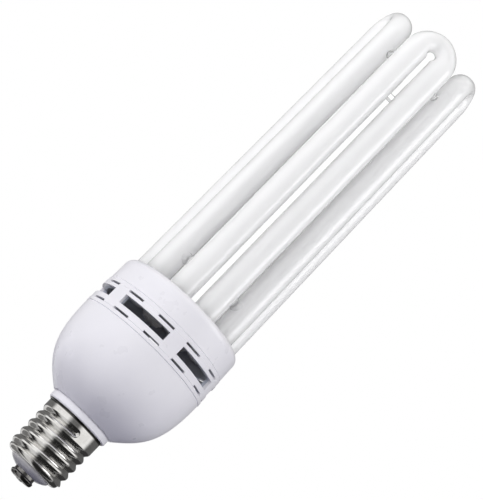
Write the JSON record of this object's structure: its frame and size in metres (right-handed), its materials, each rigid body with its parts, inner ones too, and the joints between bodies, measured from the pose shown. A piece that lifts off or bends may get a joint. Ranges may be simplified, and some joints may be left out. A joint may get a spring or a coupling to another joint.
{
  "type": "compact fluorescent bulb",
  "caption": "Compact fluorescent lamp: white U-bent glass tubes on a vented white ballast housing with a plated screw cap.",
  "frame": {"origin": "tip of the centre contact, on the lamp's axis", "axes": "+Z along the lamp's axis from the cap to the tubes; one U tube faces -Y"},
  "size_m": [0.0908, 0.0908, 0.366],
  "materials": {
    "housing_plastic": "moulded white thermoplastic, satin gloss",
    "coated_glass": "clear glass over an opaque white phosphor coating",
    "cap_plating": "nickel plated rolled sheet",
    "cap_glass": "grey glassy insulator",
    "contact_metal": "plated contact",
    "solder": "tin solder",
    "silicone": "translucent silicone",
    "cement": "poured cement",
    "board": "paper laminate with solder mask",
    "lead_red": "insulated wire",
    "lead_black": "insulated wire",
    "tinned_wire": "tinned wire and pins",
    "capacitor_sleeve": "shrink sleeve",
    "ferrite": "sintered ferrite",
    "bobbin_plastic": "moulded bobbin",
    "copper": "enamelled copper winding",
    "film_green": "dipped film capacitor",
    "film_red": "dipped film capacitor",
    "film_yellow": "boxed film capacitor",
    "package_black": "moulded semiconductor package",
    "sink_aluminium": "plain sheet",
    "fuse_body": "ceramic tube",
    "thermistor_body": "coated disc",
    "resistor_body": "coated resistor"
  },
  "bodies": {
    "root": {"screw_shell": "cap_plating", "cap_insulator": "cap_glass", "centre_contact": "contact_metal", "contact_solder": "solder", "lower_housing": "housing_plastic", "vent_ring": "housing_plastic", "tube_holder": "housing_plastic", "tube_cement": "cement", "tube_spacers": "silicone", "circuit_board": "board", "wrap_pins": "tinned_wire", "filament_leads": "tinned_wire", "live_lead": "lead_red", "neutral_lead": "lead_black", "bulk_capacitor": "capacitor_sleeve", "choke_core": "ferrite", "choke_bobbin": "bobbin_plastic", "choke_winding": "copper", "filter_core": "ferrite", "filter_winding": "copper", "drive_core": "ferrite", "drive_windings": "copper", "heat_sink": "sink_aluminium", "transistor_1": "package_black", "transistor_2": "package_black", "resonant_capacitor": "film_green", "blocking_capacitor": "film_red", "line_capacitor": "film_yellow", "rectifier_diodes": "package_black", "input_fuse": "fuse_body", "start_thermistor": "thermistor_body", "bias_resistors": "resistor_body", "trigger_diode": "film_red", "u_tube_1": "coated_glass", "u_tube_2": "coated_glass", "u_tube_3": "coated_glass", "u_tube_4": "coated_glass", "u_tube_5": "coated_glass"}
  },
  "joints": []
}
